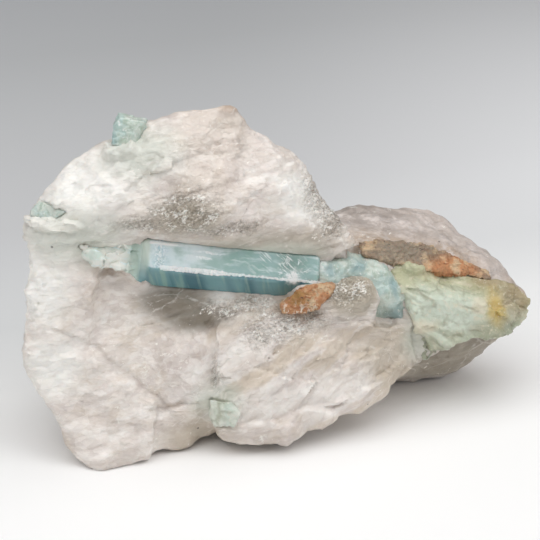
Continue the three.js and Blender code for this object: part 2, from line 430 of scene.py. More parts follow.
@dataclass(frozen=True)
class Relief:
    """The broken surface of a mineral. Sizes and depths are in millimetres."""

    voxel: float  # width of the surface's own cells
    rounding: int  # passes that wear the solid's edges
    shards: tuple[tuple[float, float], ...]  # width and depth of each size of shard
    grain: tuple[float, float]  # size and depth of the finest roughness
    warp: float = 1.5  # how crooked the edges between shards are
    grow: float = 0.5  # how far the surface stands out of its solid
    follows: bool = True  # whether the broad breaks of the specimen run through it
    sink: float = 1.2  # how far the surface stays under what lies in it
    planes: tuple[tuple[float, float], ...] = ()  # width and tilt of each size of flat break
    lie: tuple[Place, Place] = ((0, 0, 0), (1, 1, 1))  # turn in degrees and squeeze of the whole pattern
    dents: tuple[Dent, ...] = ()  # regions where it falls back under what surrounds it, or stands out

    def height(self, sheet: NodeSheet, place: Socket) -> Socket:
        """Draws the height of the surface above its solid.

        Args:
            sheet: The sheet that it is drawn on.
            place: Where the surface is.

        Returns:
            The height.
        """
        crooked = sheet.stretched(sheet.warped(place, 4 * self.warp, self.warp), *self.lie)
        parts = [(sheet.shards(crooked, size, depth), 1.0) for size, depth in self.shards]
        parts += [(sheet.facets(crooked, size, tilt), 1.0) for size, tilt in self.planes]
        parts.append((sheet.swing(place, self.grain[0]), self.grain[1]))
        if self.follows:
            parts.append((broken(sheet, place), 1.0))
        return sheet.total(*parts)

    def carve(self, piece: bpy.types.Object, bed: bpy.types.Object | None = None) -> None:
        """Remeshes a piece finely and gives it this surface.

        Args:
            piece: The piece.
            bed: What lies in the piece. The surface stays under it.
        """
        remesh(piece, self.voxel)
        if self.rounding:
            apply_modifier(piece, "SMOOTH", factor=0.5, iterations=self.rounding)
        tree = bpy.data.node_groups.new(f"{piece.name}_relief", "GeometryNodeTree")
        tree.interface.new_socket("Geometry", in_out="INPUT", socket_type="NodeSocketGeometry")
        tree.interface.new_socket("Geometry", in_out="OUTPUT", socket_type="NodeSocketGeometry")
        sheet = NodeSheet(tree)
        position = sheet.add("GeometryNodeInputPosition")
        height = self.height(sheet, place_in(sheet, position))
        ragged = sheet.warped(place_in(sheet, position), 2.0, 0.5)
        for dent in self.dents:
            mask = sheet.spot(ragged, dent.centre, dent.radii, 0.15)
            height = sheet.total((height, 1.0), (mask, -dent.depth))
        if bed:
            inputs = {"Object": bed}
            solid = sheet.add("GeometryNodeObjectInfo", inputs, out="Geometry", transform_space="RELATIVE")
            gap = sheet.add("GeometryNodeProximity", {0: solid}, out="Distance")
            covered = sheet.band(gap, 0.55 * MM, 0.2 * MM)
            height = sheet.total((height, 1.0), (covered, -self.sink))
        metres = sheet.math("MULTIPLY_ADD", height, MM, self.grow * MM)
        normal = sheet.add("GeometryNodeInputNormal")
        push = sheet.scaled(normal, metres)
        moved = sheet.vector("ADD", position, push)
        floor = (-1.0, -1.0, 0.0)
        held = sheet.vector("MAXIMUM", moved, floor)
        source = sheet.add("NodeGroupInput")
        worked = sheet.add("GeometryNodeSetPosition", {"Geometry": source, "Position": held})
        sheet.add("NodeGroupOutput", {0: worked})
        apply_modifier(piece, "NODES", node_group=tree)
        triangles = sum(len(face.vertices) - 2 for face in piece.data.polygons)
        if triangles > PIECE_LIMIT:
            apply_modifier(piece, "DECIMATE", ratio=PIECE_LIMIT / triangles)
        activate(piece)
        bpy.ops.object.shade_smooth_by_angle(angle=math.radians(60))


@dataclass(frozen=True)
class BlockRelief(Relief):
    """The quartz block's surface, which also split along lines on its front and crumbled in patches."""

    furrows: float = 0.17  # tilt of the diagonal planes on the front block
    steps: float = 0.12  # tilt of the level planes on the upper slab
    crumbs: float = 0.35  # depth of the granular patches, whose grains are coarser than real ones
    ledges: tuple[Ledge, ...] = (
        Ledge((-17.5, -19, 31), (-17.8, -24.5, 17.5), 2.4, 7),  # left edge of the front block
        Ledge((-34, -27, 11.5), (-21, -26, 14), 1.0, 5),  # slab over the toe's flank
        Ledge((-34.5, -33, 1), (-32, -28, 11), 1.4, 6),  # toe's front face and its flank
        Ledge((-47, -23, 26), (-36, -27, 19), 0.55, 7),  # ridge on the lower slab
        Ledge((-36, -27, 19), (-30, -26, 13), 0.6, 6),
        Ledge((-63, -17, 52.4), (-42, -17.5, 52.8), 1.1, 4.5),  # level ledge at the left
        Ledge((-50, -22.7, 35), (-45, -19, 49), 0.9, 6),  # line down the left wall
        Ledge((-18, -16, 36), (-37, -20, 30), 1.0, 6),  # lower rim of the hollow under the crystal
        Ledge((-12, -3, 79), (-21, -15, 65), 0.6, 5),  # crack down from the peak
        Ledge((16, -16.5, 29), (-5, -25, 21), 0.8, 5),  # diagonal ridges of the front block
        Ledge((-5, -25, 21), (-14, -27, 13), 0.8, 5),
        Ledge((27, -12, 23.5), (4, -24, 15.5), 0.9, 5),
        Ledge((28, -13, 16), (6, -25, 9.5), 0.8, 5),
        Ledge((25, -12.5, 28.5), (13, -16.5, 30.5), 0.9, 4),
        Ledge((-58, -25, 33), (-49, -20, 26), 0.7, 5),
    )

    def height(self, sheet: NodeSheet, place: Socket) -> Socket:
        """Draws the height of the surface above its solid. See Relief.height."""
        rough = super().height(sheet, place)
        crooked = sheet.warped(place, 6.0, 1.2)
        front_block = sheet.spot(place, (8, -16, 18), (28, 14, 14), 0.3)
        slab = sheet.spot(place, (-16, -14, 64), (42, 14, 17), 0.3)
        furrow = sheet.facets(sheet.stretched(crooked, (0, 28, 0), (0.25, 0.6, 1.0)), 5.5, self.furrows)
        step = sheet.facets(sheet.stretched(crooked, (0, 10, 0), (0.3, 0.5, 1.0)), 5.0, self.steps)
        patches = sheet.spots(place, GRANULAR_PATCHES, 0.5)
        crumb = sheet.shards(sheet.warped(place, 2.0, 0.5), 1.7, self.crumbs)
        jagged = sheet.warped(sheet.warped(place, 5.0, 1.5), 1.8, 0.5)
        rims = sheet.spots(place, RIMS, 0.5)
        chip_place = sheet.stretched(sheet.warped(place, 2.5, 0.6), (0, 15, 0), (0.6, 0.8, 1.0))
        chipped = sheet.facets(chip_place, 2.2, 0.24)
        clear = PRISM.away(sheet, place)
        return sheet.total(
            (rough, 1.0),
            (sheet.both(furrow, front_block), clear),
            (sheet.both(step, slab), clear),
            (crumb, patches),
            (chipped, rims),
            *((ledge.height(sheet, jagged), clear) for ledge in self.ledges),
        )


@dataclass(frozen=True)
class PrismRelief(Relief):
    """The crystal's faces: lengthwise growth lines, and chips along the edge at the front."""

    chips: float = 0.35
    join: float = 0.3  # how far the end face stands out to meet the broken end

    def height(self, sheet: NodeSheet, place: Socket) -> Socket:
        """Draws the height of the surface above its solid. See Relief.height."""
        rough = super().height(sheet, place)
        along, _, up = PRISM.measures(sheet, place)
        growth = sheet.swing(PRISM.drawn_out(sheet, place, 0.06), 0.9)
        bite = sheet.band(sheet.noise(place, 1.5, 3.0), 0.42, 0.62)
        edge = sheet.line(up, 0.1, 1.0)
        joint = sheet.band(along, 42.4, 43.0)
        splintered = sheet.facets(sheet.warped(place, 3.0, 0.8), 2.6, 0.4)
        return sheet.total(
            (rough, 1.0),
            (growth, 0.05),
            (sheet.both(bite, edge), -self.chips),
            (joint, self.join),
            (sheet.both(splintered, sheet.band(along, -1.5, -3.0)), 1.0),
        )


@dataclass(frozen=True)
class PrismAxes:
    """Where the six-sided crystal lies, in millimetres."""

    left: Place = (-35.4, -13.0, 47.2)  # middle of its left end
    right: Place = (7.0, -5.6, 39.8)  # middle of the end where it is snapped
    half_height: float = 5.9  # from its middle to a face

    def directions(self) -> tuple[Vector, Vector, Vector]:
        """Returns its directions: along it, out through its front edge, and up across it."""
        along = (Vector(self.right) - Vector(self.left)).normalized()
        front = (Vector((0, -1, 0)) + along * along.y).normalized()
        return along, front, front.cross(along)

    def measures(self, sheet: NodeSheet, place: Socket) -> list[Socket]:
        """Measures a place from the middle of the crystal's left end.

        Args:
            sheet: The sheet that it is drawn on.
            place: Where the surface is.

        Returns:
            How far it is along the crystal, to its front and up across it.
        """
        gap = sheet.vector("SUBTRACT", place, self.left)
        return [sheet.dot(gap, tuple(way)) for way in self.directions()]

    def drawn_out(self, sheet: NodeSheet, place: Socket, share: float) -> Socket:
        """Returns places whose patterns are drawn out along the crystal by 1 / share."""
        along, front, up = self.measures(sheet, place)
        return sheet.joined(sheet.both(along, share), front, up)

    def within(self, sheet: NodeSheet, place: Socket, near: float, far: float) -> Socket:
        """Marks the crystal's surroundings.

        Args:
            sheet: The sheet that it is drawn on.
            place: Where the surface is.
            near: How far outside its faces the mark starts to fade, in millimetres.
            far: How far outside them it has faded out.

        Returns:
            A mask, 1 inside the crystal.
        """
        along, front, up = self.measures(sheet, place)
        reach = sheet.math("ABSOLUTE", up)
        for lean in (0.5, -0.5):
            across = sheet.total((front, math.sqrt(0.75)), (up, lean))
            reach = sheet.math("MAXIMUM", reach, sheet.math("ABSOLUTE", across))
        beside = sheet.band(reach, self.half_height + far, self.half_height + near)
        half = (Vector(self.right) - Vector(self.left)).length / 2
        beyond = sheet.math("ABSOLUTE", sheet.math("SUBTRACT", along, half))
        return sheet.both(beside, sheet.band(beyond, half + far, half + near))

    def away(self, sheet: NodeSheet, place: Socket) -> Socket:
        """Returns a mask that is 0 at the crystal and its thin left end, and 1 at a distance."""
        tail = sheet.spot(place, (-43, -17, 48), (9, 7, 5.5), 0.25)
        near = sheet.math("MAXIMUM", self.within(sheet, place, 0.3, 3.5), tail)
        return sheet.math("SUBTRACT", 1.0, near)


PRISM = PrismAxes()
# The block's thin edges, which chipped: centres and radii in millimetres.
RIMS: list[Region] = [
    ((12, -16, 4), (30, 12, 4)),
    ((33, -9, 12), (8, 10, 8)),
    ((-63, -14, 40), (4, 20, 26)),
    ((10, 2, 64), (6, 10, 12)),
    ((13, -6, 51), (7, 8, 5)),
]
# Where the quartz broke into glittering grains: centres and radii in millimetres.
GRANULAR_PATCHES: list[Region] = [
    ((-25, -18, 60.5), (8, 8, 5)),
    ((-36, -18, 58), (6, 6, 2)),
    ((-13, -16, 56), (8, 6, 1.6)),
    ((9, -2, 60), (5, 8, 5)),
    ((12, -3, 55), (4, 8, 5)),
    ((2, -15, 31), (9, 6, 3.5)),
    ((-5, -17, 29), (6, 6, 4)),
    ((15, -13, 38.5), (6, 8, 3)),
    ((-12, -15, 35), (9, 6, 1.8)),
    ((-17, -23, 20), (1.5, 5, 4)),
]


@dataclass
class Finish:
    """A material that is being drawn, with its shader and the place on the surface."""

    name: str
    material: bpy.types.Material = field(init=False)
    sheet: NodeSheet = field(init=False)
    shader: bpy.types.Node = field(init=False)
    place: Socket = field(init=False)

    def __post_init__(self) -> None:
        """Starts the material with a shader and the surface's place in millimetres."""
        self.material = bpy.data.materials.new(self.name)
        self.material.use_nodes = True
        self.material.node_tree.nodes.clear()
        self.sheet = NodeSheet(self.material.node_tree)
        surface = self.sheet.add("ShaderNodeBsdfPrincipled")
        self.sheet.add("ShaderNodeOutputMaterial", {"Surface": surface})
        self.shader = surface.node
        self.place = place_in(self.sheet, self.sheet.add("ShaderNodeTexCoord", out="Object"))

    def set(self, **values: Socket | float | tuple) -> None:
        """Sets or links the shader's inputs.

        Args:
            **values: Input name, with _ for each space, to its value or the socket that feeds it.
        """
        for name, value in values.items():
            socket = self.shader.inputs[name.replace("_", " ")]
            if isinstance(value, Socket):
                self.sheet.tree.links.new(value, socket)
            else:
                socket.default_value = value

    def roughen(self, height: Socket) -> None:
        """Gives the surface a fine relief whose height is in millimetres."""
        self.set(Normal=self.sheet.add("ShaderNodeBump", {"Height": height, "Distance": MM, "Strength": 1.0}))

    def eased(self, mask: Socket, clear: float, covered: float) -> Socket:
        """Returns a value that goes from one to another as the mask goes from 0 to 1."""
        return self.sheet.add("ShaderNodeMapRange", {0: mask, 3: clear, 4: covered})


@dataclass(frozen=True)
class MineralFinish:
    """How one kind of mineral surface looks. Patterns are drawn at the size that they have on such rock."""

    name: str

    def draw(self, finish: Finish, sheet: NodeSheet) -> None:
        """Draws the surface's colour, fine relief and shine.

        Args:
            finish: The new material that they are drawn on.
            sheet: Its sheet.
        """
        raise NotImplementedError

    def material(self) -> bpy.types.Material:
        """Returns a new material with this finish."""
        finish = Finish(self.name)
        self.draw(finish, finish.sheet)
        return finish.material


@dataclass(frozen=True)
class MilkyQuartz(MineralFinish):
    """Milky quartz, broken by hand: waxy and veiled, with glittering granular patches along its breaks.

    Light scatters under its surface, which softens its shadows. Its flakes, 3 mm and 1.2 mm wide, each lean a
    little differently, and each is tinted whiter or greyer: partly its own tone, partly painted light and shade
    of its tilt.
    Its glittering grains, 0.7 mm wide, are drawn coarser than real ones, and painted glints fleck them white.
    """

    name: str = "milky_quartz_broken"
    white: str = "#FAF4EE"
    # Near white of the whiter quartz at the left, partly painted light.
    bright: str = "#FFFCF6"
    warm: str = "#EAE0D8"
    mauve: str = "#DACEC8"
    lilac: str = "#D2C6C0"
    beige: str = "#D9CAB7"
    # Beige of the undersides, partly painted shade.
    flank: str = "#C4B6A2"
    smoky: str = "#AFA48F"
    # Dark smoky quartz, also laid as painted shade in the hollow under the crystal and under the beryl mass.
    deep_smoke_and_shade: str = "#786E5D"
    stain: str = "#B39A80"
    grey: str = "#C9BEB3"
    dusk: str = "#C0B3AA"  # the block behind, which is painted darker and greyer
    shade: str = "#8B8079"
    green: str = "#D3DBCF"
    rust: str = "#AC8B6C"
    # White of the painted glints.
    painted_glint: str = "#FFFAF2"
    speck: str = "#4B4038"
    ior: float = 1.544

    def draw(self, finish: Finish, sheet: NodeSheet) -> None:
        """Draws the surface's colour, fine relief and shine. See MineralFinish.draw."""
        band, both = sheet.band, sheet.both
        place = sheet.warped(finish.place, 9.0, 2.5)

        level = sheet.stretched(place, (0, 8, 0), (0.3, 0.6, 1.0))
        rising = sheet.stretched(place, (0, 30, 0), (0.13, 0.5, 1.0))
        cloud = sheet.noise(place, 16, 5.0, 0.6)
        level_streak = sheet.noise(level, 3.4, 7.0, 0.66)
        rising_streak = sheet.noise(rising, 3.4, 5.0, 0.56)
        front_block = sheet.spot(place, (2, -18, 18), (34, 18, 16), 0.3)
        streak = sheet.add("ShaderNodeMix", {0: front_block, 2: level_streak, 3: rising_streak})
        grainwise = sheet.either(front_block, level, rising)
        mottle = sheet.noise(grainwise, 1.1, 7.0, 0.72)
        wide = sheet.noise(sheet.stretched(place, (0, 32, 0), (0.12, 0.4, 1.0)), 8.0, 3.0, 0.5)
        broad, broad_white = band(wide, 0.52, 0.42), band(wide, 0.54, 0.62)
        tint = sheet.noise(sheet.stretched(place, (40, 10, 60), (1, 1, 1)), 9.0, 5.0, 0.6)
        veil_place = sheet.warped(sheet.stretched(finish.place, (0, 20, 0), (0.4, 1.0, 1.0)), 5.0, 1.2)
        veil = both(sheet.cracks(veil_place, 11.0, 0.3), band(mottle, 0.47, 0.6))
        fine_veil = both(sheet.cracks(veil_place, 4.5, 0.16), band(cloud, 0.5, 0.62))
        radians = sheet.scaled(sheet.either(front_block, (0, 10, 0), (0, 30, 0)), math.pi / 180)
        crooked = sheet.warped(sheet.warped(finish.place, 6.0, 1.4), 1.5, 0.3)
        flake_place = sheet.vector("MULTIPLY", sheet.turned(crooked, radians), (0.4, 0.7, 1.0))
        # Each flake is tinted whiter or greyer: partly its own tone, partly painted light and shade of its
        # tilt.
        flake = sheet.cells(flake_place, 3.0, "Color")
        small_flake = sheet.cells(flake_place, 1.2, "Color")

        ragged = sheet.warped(sheet.warped(finish.place, 7.0, 3.0), 2.0, 0.8)
        # Smoky quartz just above the crystal, partly painted shade where the slab turns down over it.
        smoke_and_shade_above = sheet.spots(place, [((-6, -13, 49), (24, 9, 5)), ((-25, -17, 59.5), (9, 8, 5))], 0.5)
        knob = sheet.spot(place, (17, -13, 37.5), (9, 8, 5.5), 0.35)
        back = sheet.spot(place, (45, 22, 40), (34, 22, 24), 0.4)
        shade = both(sheet.spot(place, (20, 23, 47), (13, 14, 5), 0.6), band(streak, 0.62, 0.45))
        # The undersides of the toe and the front block: a beige tone, partly the quartz's own and partly
        # painted shade.
        shaded_undersides = sheet.spots(place, [((-22, -24, 4), (12, 9, 6)), ((27, -11, 19), (10, 9, 9))], 0.4)
        peak = sheet.spots(place, [((-17, -5, 77), (13, 10, 8)), ((-20, -14, 68), (7, 8, 5))], 0.6)
        # Smoky quartz under the beryl mass, darkened with painted shade where this underside faces the floor.
        smoke_and_shade_below_mass = sheet.spot(place, (46, 6, 10), (18, 14, 9), 0.4)
        green = sheet.spots(
            place,
            [
                ((-36, -10, 74), (10, 9, 6)),
                ((-52, -16, 55), (12, 8, 7)),
                ((-17, -26, 14), (6, 5, 5)),
                ((-3, -12, 47), (14, 6, 3)),
                ((34, -2, 21), (5, 8, 5)),
            ],
            0.6,
        )
        rust = sheet.spots(place, [((-11, 0, 82.5), (6, 5, 1.3)), ((2, -15.5, 34.5), (5, 5, 2.5))], 0.6)
        stain_places = [((25, 6, 43), (12, 6, 4)), ((46, 10, 38), (16, 6, 4.5)), ((64, 8, 29), (4, 8, 5))]
        stain = both(sheet.spots(ragged, stain_places, 0.6), band(mottle, 0.36, 0.56))
        # Painted shade: the hollow under the crystal is painted dark smoky brown, where the crystal's shadow
        # falls.
        hollow = sheet.spots(place, [((-28, -16, 36.5), (9, 7, 4)), ((-23, -17, 33), (9, 7, 3))], 0.6)
        # Whiter quartz at the left and on the peak, partly painted light where these faces catch the most
        # light.
        bright = sheet.spots(
            place,
            [
                ((-50, -14, 66), (14, 12, 10)),
                ((-60, -20, 44), (7, 14, 14)),
                ((-58, -26, 24), (7, 12, 8)),
                ((5, -9, 62), (8, 8, 7)),
            ],
            0.6,
        )
        patches = sheet.spots(ragged, GRANULAR_PATCHES, 0.7)

        grain_place = sheet.stretched(finish.place, (20, 30, 10), (0.8, 1.0, 1.3))
        grain = sheet.noise(grain_place, 0.7, 3.0, 0.7)
        clump = sheet.noise(finish.place, 3.6, 4.0, 0.6)
        thick = sheet.total((grain, 0.5), (clump, 0.5), (patches, 0.1))
        # Painted glints: white flecks in the granular patches stand for the sparkle of their grains, and are
        # made glossier too.
        glitter = band(thick, 0.615, 0.645)
        gaps = both(patches, band(grain, 0.52, 0.36))
        dark_speck = band(sheet.cells(finish.place, 11.0, "Distance"), 0.036, 0.022)

        colour = sheet.lay(
            self.warm,
            (band(cloud, 0.42, 0.64), self.mauve),
            (band(tint, 0.46, 0.66), self.beige, 0.6),
            (band(streak, 0.46, 0.66), self.white, 0.8),
            (band(streak, 0.48, 0.32), self.lilac, 0.6),
            (band(mottle, 0.52, 0.62), self.white, 0.4),
            (band(mottle, 0.46, 0.36), self.grey, 0.35),
            (band(flake, 0.55, 0.75), self.white, 0.3),
            (band(flake, 0.45, 0.25), self.grey, 0.3),
            (band(small_flake, 0.6, 0.8), self.white, 0.3),
            (band(small_flake, 0.4, 0.2), self.lilac, 0.3),
            (both(broad, both(front_block, 0.75)), self.beige),
            (both(broad_white, both(front_block, 0.6)), self.white),
            (bright, self.bright, 0.8),
            (back, sheet.lay(self.dusk, (band(streak, 0.4, 0.7), self.mauve)), 0.85),
            (shade, self.shade, 0.5),
            (peak, sheet.lay(self.mauve, (streak, self.beige)), 0.6),
            (shaded_undersides, self.flank, 0.75),
            (smoke_and_shade_below_mass, sheet.lay(self.deep_smoke_and_shade, (streak, self.smoky)), 0.8),
            (smoke_and_shade_above, self.smoky, 0.6),
            (knob, self.smoky, 0.7),
            (patches, self.smoky, 0.2),
            (gaps, self.deep_smoke_and_shade, 0.5),
            (hollow, self.deep_smoke_and_shade, 0.9),
            (green, self.green, 0.6),
            (rust, self.rust, 0.6),
            (stain, self.stain, 0.7),
            (both(veil, sheet.total((back, -0.4), (1.0, 0.45))), self.white),
            (both(fine_veil, sheet.total((back, -0.3), (1.0, 0.35))), self.white),
            (glitter, self.painted_glint, 0.9),
            (dark_speck, self.speck, 0.7),
        )
        crystals = sheet.shards(finish.place, 0.8, 0.4)
        height = sheet.total(
            (sheet.facets(flake_place, 3.0, 0.16), 1.0),
            (sheet.facets(flake_place, 1.2, 0.26), 1.0),
            (sheet.facets(flake_place, 0.55, 0.16), 1.0),
            (streak, 0.3),
            (both(crystals, patches), 1.0),
        )
        finish.roughen(height)
        finish.set(
            Base_Color=colour,
            Roughness=finish.eased(glitter, 0.45, 0.25),
            IOR=self.ior,
            Subsurface_Weight=0.3,
            Subsurface_Scale=1.0 * MM,
            Subsurface_Radius=(1.0, 0.86, 0.76),
            Coat_Weight=0.3,
            Coat_Roughness=0.25,
        )


@dataclass(frozen=True)
class CrystalAquamarine(MineralFinish):
    """Aquamarine beryl, grown in flat faces: glassy inside, frosty along its chipped front edge.

    It passes a part of the light and shines sharply. Growth bands cross its lower face, white scratches and a
    burst of fractures mark its upper one, and frost dulls it where it was chipped.
    """

    name: str = "aquamarine_grown_faces"
    pale: str = "#E4F2F4"
    upper: str = "#ABC8C5"
    # Lower face, darkened partly with painted shade.
    lower: str = "#76A5AA"
    deep: str = "#507E8A"
    green: str = "#98BCB1"
    milk: str = "#E9EAE2"
    green_milk: str = "#D2DED4"
    sage: str = "#A9BFB3"
    haze: str = "#C3E2EE"
    dusk: str = "#91ABA3"  # where the crystal is clear enough to show the dark quartz behind
    frost: str = "#FBFEFD"
    ior: float = 1.577

    def draw(self, finish: Finish, sheet: NodeSheet) -> None:
        """Draws the surface's colour, fine relief and shine. See MineralFinish.draw."""
        band, both = sheet.band, sheet.both
        place = finish.place
        along, _, up = PRISM.measures(sheet, place)
        above = band(up, 0.0, 0.5)
        cloud = sheet.noise(place, 5.0, 4.0)
        long_streak = sheet.noise(PRISM.drawn_out(sheet, sheet.warped(place, 5.0, 1.0), 0.16), 1.1, 4.0)
        cross_place = sheet.joined(sheet.total((along, 1.0), (up, 0.45)), both(up, 0.12))
        cross_streak = sheet.noise(cross_place, 2.2, 4.0)
        wide_streak = sheet.noise(cross_place, 7.0, 1.0)
        # The lower face is painted deeper than the upper one: partly the crystal's own colour, partly painted
        # shade, as it faces down.
        shaded_lower_face = sheet.lay(
            self.lower,
            (band(wide_streak, 0.45, 0.65), self.deep),
            (band(cross_streak, 0.5, 0.68), self.green, 0.7),
            (band(cross_streak, 0.46, 0.3), self.deep, 0.6),
        )
        upper_face = sheet.lay(
            self.pale,
            (sheet.line(along, 3.0, 3.2), self.haze, 0.7),
            (band(along, 11.0, 24.0), self.upper),
            (band(cloud, 0.45, 0.65), self.green, 0.6),
            (band(long_streak, 0.5, 0.7), self.pale, 0.7),
            (both(sheet.line(along, 36.5, 5.5), band(up, 1.0, 3.0)), self.dusk, 0.8),
        )

        chipped = sheet.noise(place, 1.1, 5.0, 0.65)
        fleck = sheet.noise(place, 0.55, 3.0, 0.7)
        speckle = band(fleck, 0.44, 0.54)
        bruised = sheet.line(along, 21.0, 2.6)
        wide_left = band(along, 26.0, 17.0)
        edge_width = sheet.total((wide_left, 0.55), (chipped, 1.5), (bruised, -0.35), (1.0, -0.25))
        edge_reach = sheet.math("DIVIDE", sheet.total((up, 1.0), (1.0, -0.35)), edge_width)
        edge = both(sheet.line(edge_reach, 0.0, 1.0), band(along, 2.6, 4.0))
        crisp_edge = both(band(edge, 0.18, 0.4), sheet.total((speckle, 0.3), (1.0, 0.7)))
        square = both(both(sheet.line(along, 2.8, 2.9), band(up, -0.2, 0.6)), speckle)
        # Painted highlight: a thin white line along the top edge at the left end.
        painted_top_edge_highlight = both(sheet.line(up, 5.6, 0.6), band(along, 9.0, 5.0))
        streaky = both(band(long_streak, 0.48, 0.56), sheet.total((speckle, 0.4), (1.0, 0.6)))
        upper_frost = both(streaky, both(sheet.line(up, 3.9, 2.4), sheet.line(along, 16.0, 9.0)))
        slow = sheet.total((along, 0.1), (up, -0.07))
        across = sheet.total((along, 0.5), (up, 0.86))
        scratch_place = sheet.warped(sheet.joined(slow, across), 3.0, 0.5)
        scratch = band(sheet.noise(scratch_place, 0.55, 3.0, 0.6), 0.56, 0.63)
        scratched = both(scratch, both(sheet.line(along, 34.0, 13.0), above))
        centre = (sheet.total((along, 1.0), (1.0, -37.0)), sheet.total((up, 1.0), (1.0, -0.9)))
        angle = sheet.math("ARCTAN2", centre[1], centre[0])
        radius_place = sheet.joined(centre[0], centre[1])
        radius = sheet.vector("LENGTH", radius_place, out="Value")
        ray_place = sheet.joined(both(angle, 2.2), both(radius, 0.2))
        ray = sheet.noise(sheet.warped(ray_place, 1.0, 0.25), 0.5, 5.0, 0.7)
        ragged_radius = sheet.total((radius, 1.0), (chipped, -3.0), (1.0, 1.5))
        heart = both(band(ray, 0.34, 0.48), band(ragged_radius, 2.6, 0.8))
        fan = both(band(ray, 0.54, 0.64), band(ragged_radius, 7.0, 2.4))
        # The frost mask also carries the painted highlight along the top edge.
        frost = crisp_edge
        thin = ((square, 0.6), (upper_frost, 0.75), (scratched, 0.7), (fan, above))
        for mask in (*(both(*pair) for pair in thin), painted_top_edge_highlight, heart):
            frost = sheet.math("MAXIMUM", frost, mask)
        frost = both(frost, band(along, -0.3, 0.5))

        end_face = both(band(along, 0.8, -0.2), band(along, -2.5, -1.0))
        tail = band(along, -0.8, -2.4)
        tail_colour = sheet.lay(
            self.milk,
            (band(cloud, 0.45, 0.6), self.green_milk),
            (band(long_streak, 0.55, 0.65), self.pale),
            (band(along, -7.0, -2.5), self.sage, 0.8),
        )
        colour = sheet.lay(
            shaded_lower_face,
            (above, upper_face),
            (end_face, sheet.lay(self.lower, (band(up, -5.0, 3.0), self.green_milk))),
            (tail, tail_colour),
            (frost, self.frost),
        )
        height = sheet.total((fleck, 0.03), (both(fleck, frost), 0.25), (long_streak, 0.06))
        clouding = sheet.math("MAXIMUM", frost, tail)
        finish.roughen(height)
        finish.set(
            Base_Color=colour,
            Roughness=finish.eased(clouding, 0.16, 0.45),
            IOR=self.ior,
            Transmission_Weight=finish.eased(clouding, 0.12, 0.0),
            Subsurface_Weight=0.35,
            Subsurface_Scale=3 * MM,
            Subsurface_Radius=(0.6, 0.9, 1.0),
            Coat_Weight=0.35,
            Coat_Roughness=0.1,
        )


@dataclass(frozen=True)
class CloudyAquamarine(MineralFinish):
    """Aquamarine beryl where it broke: pale and cloudy, with bluer spots inside.

    Its hackly break, 1.6 mm wide shards, takes the shine off, so it reads as ice and not as glass.
    """

    name: str = "aquamarine_broken_cloudy"
    pale: str = "#D3DDD2"
    aqua: str = "#C0D4CD"
    blue: str = "#8FADB0"
    moss: str = "#B9C9BA"
    white: str = "#F3F8F4"
    ior: float = 1.577

    def draw(self, finish: Finish, sheet: NodeSheet) -> None:
        """Draws the surface's colour, fine relief and shine. See MineralFinish.draw."""
        place = sheet.warped(finish.place, 4.0, 1.5)
        cloud = sheet.noise(place, 5.0, 4.0)
        spots = sheet.spots(
            place,
            [
                ((11, -9, 42), (1.6, 4, 1.4)),
                ((19, -7, 42), (2.4, 4, 1.2)),
                ((29, -5, 28), (4, 4, 3)),
                ((28, -5, 36), (1.2, 4, 3)),
                ((-43, -8, 78), (1.2, 5, 3)),
            ],
            0.7,
        )
        fleck = sheet.noise(finish.place, 1.0, 4.0)
        flake = sheet.both(sheet.band(fleck, 0.62, 0.68), 0.7)
        vein = sheet.both(sheet.cracks(place, 4.5, 0.2), 0.25)
        bruise = sheet.spot(place, (7.2, -9.5, 43.5), (2.6, 6, 3.0), 0.7)
        joint = sheet.both(bruise, sheet.band(fleck, 0.38, 0.5))
        colour = sheet.lay(
            self.pale,
            (sheet.band(cloud, 0.42, 0.6), self.aqua),
            (sheet.band(sheet.noise(place, 1.6, 5.0, 0.65), 0.5, 0.64), self.moss),
            (spots, self.blue, 0.7),
            (vein, self.white),
            (flake, self.white),
            (joint, self.white),
        )
        finish.roughen(sheet.total((fleck, 0.25), (sheet.shards(place, 1.6, 0.08), 1.0)))
        finish.set(
            Base_Color=colour,
            Roughness=0.35,
            IOR=self.ior,
            Transmission_Weight=0.12,
            Subsurface_Weight=0.4,
            Subsurface_Scale=3 * MM,
            Subsurface_Radius=(0.7, 0.95, 1.0),
            Coat_Weight=0.25,
            Coat_Roughness=0.15,
        )


